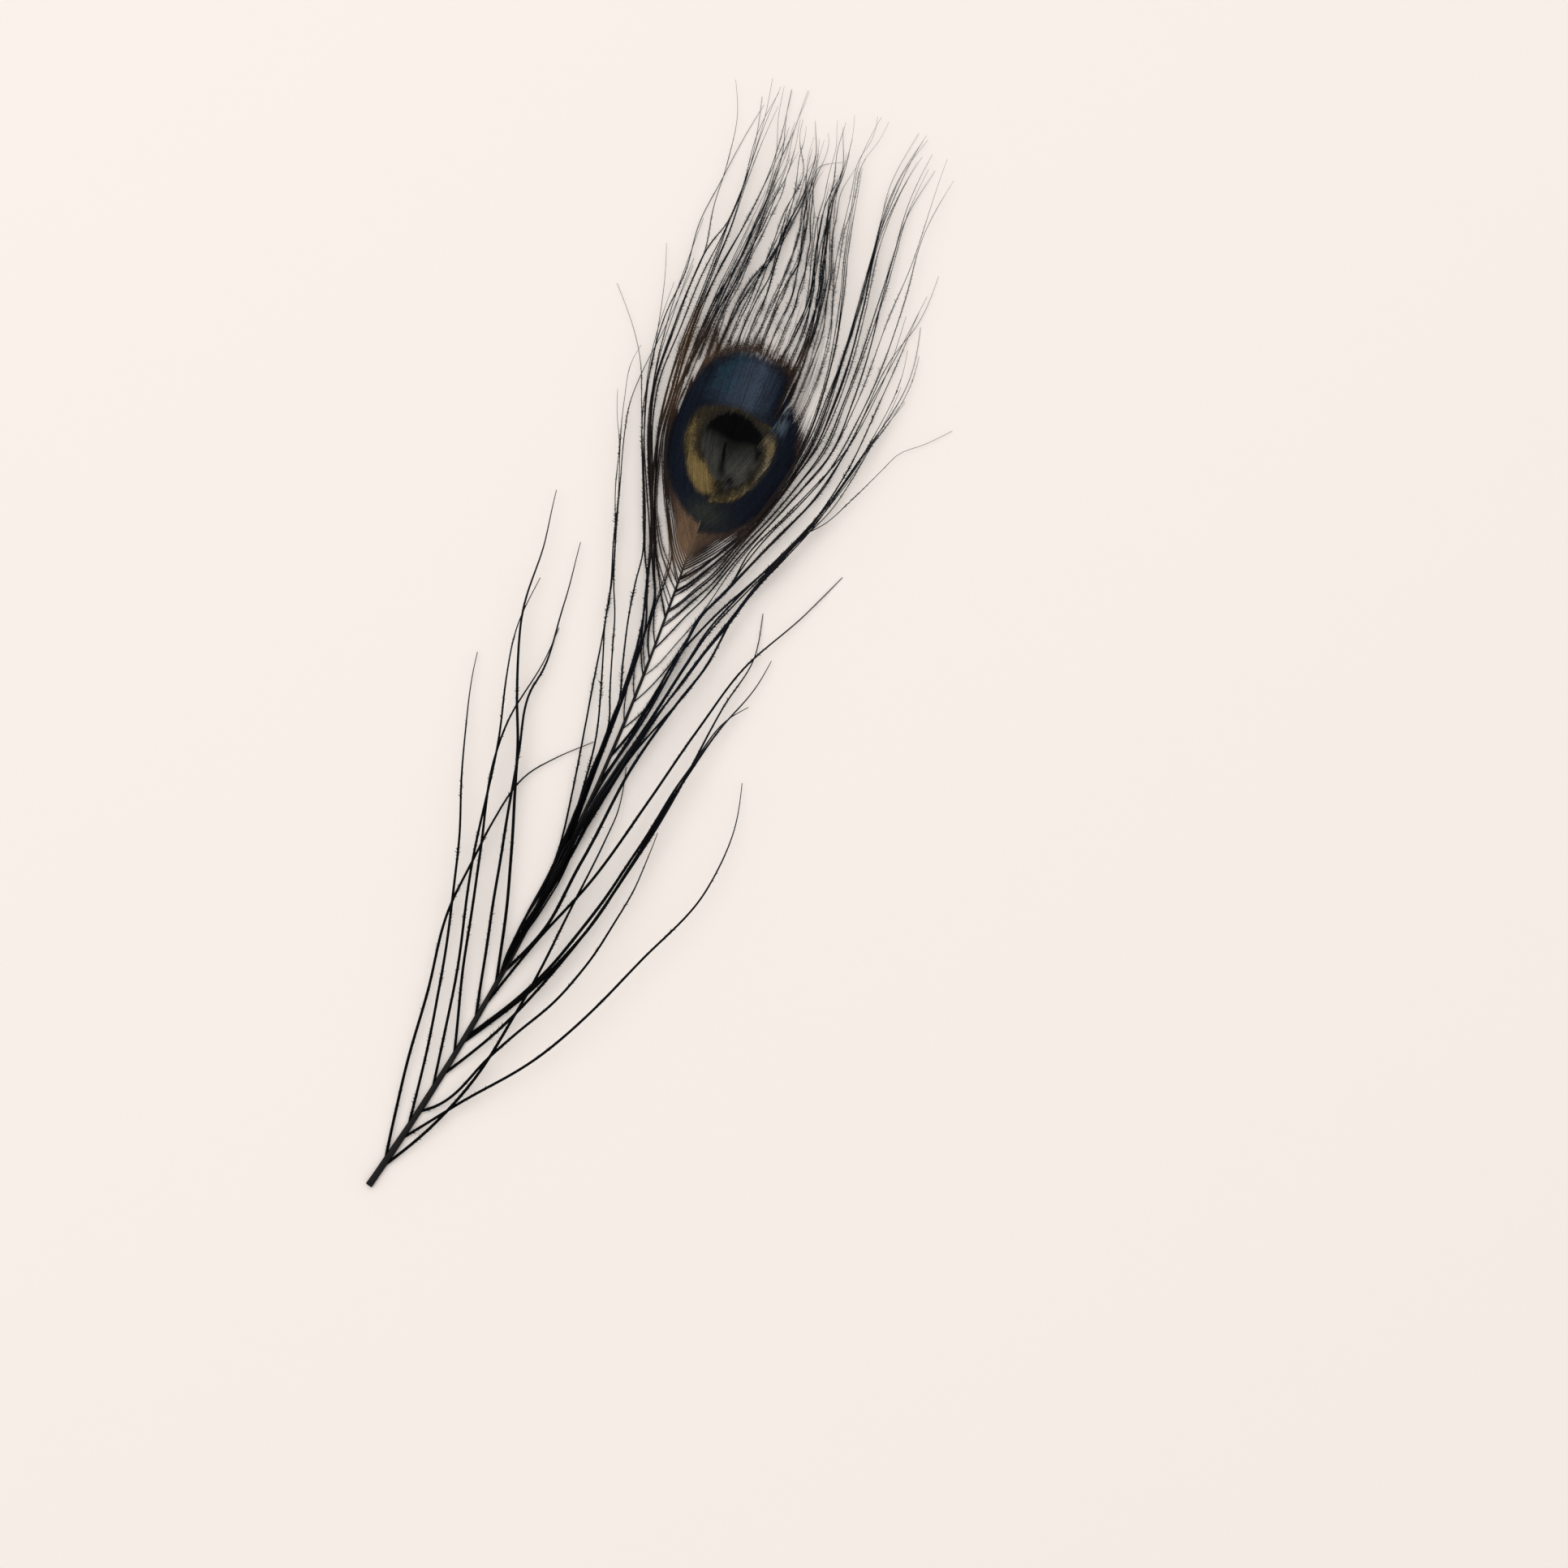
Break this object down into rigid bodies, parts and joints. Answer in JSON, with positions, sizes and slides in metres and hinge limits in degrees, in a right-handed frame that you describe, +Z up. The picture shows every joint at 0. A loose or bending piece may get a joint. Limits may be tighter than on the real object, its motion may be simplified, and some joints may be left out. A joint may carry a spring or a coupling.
{
  "type": "peacock feather",
  "caption": "Trimmed peacock eye feather, dyed black, lying flat: bowed shaft, closed eye vane and long loose barbs fanning to ragged tips.",
  "frame": {"origin": "middle of the feather's bounding box in plan, on the surface it lies on", "axes": "+Z up off the surface, out of the feather's face; +Y along the feather from the cut quill to the tips of the barbs"},
  "size_m": [0.1094, 0.3503, 0.0086],
  "materials": {
    "feather": "dyed barbs with a satin sheen, blue and olive-gold iridescence in the eye"
  },
  "bodies": {
    "root": {"feather": "feather"}
  },
  "joints": []
}
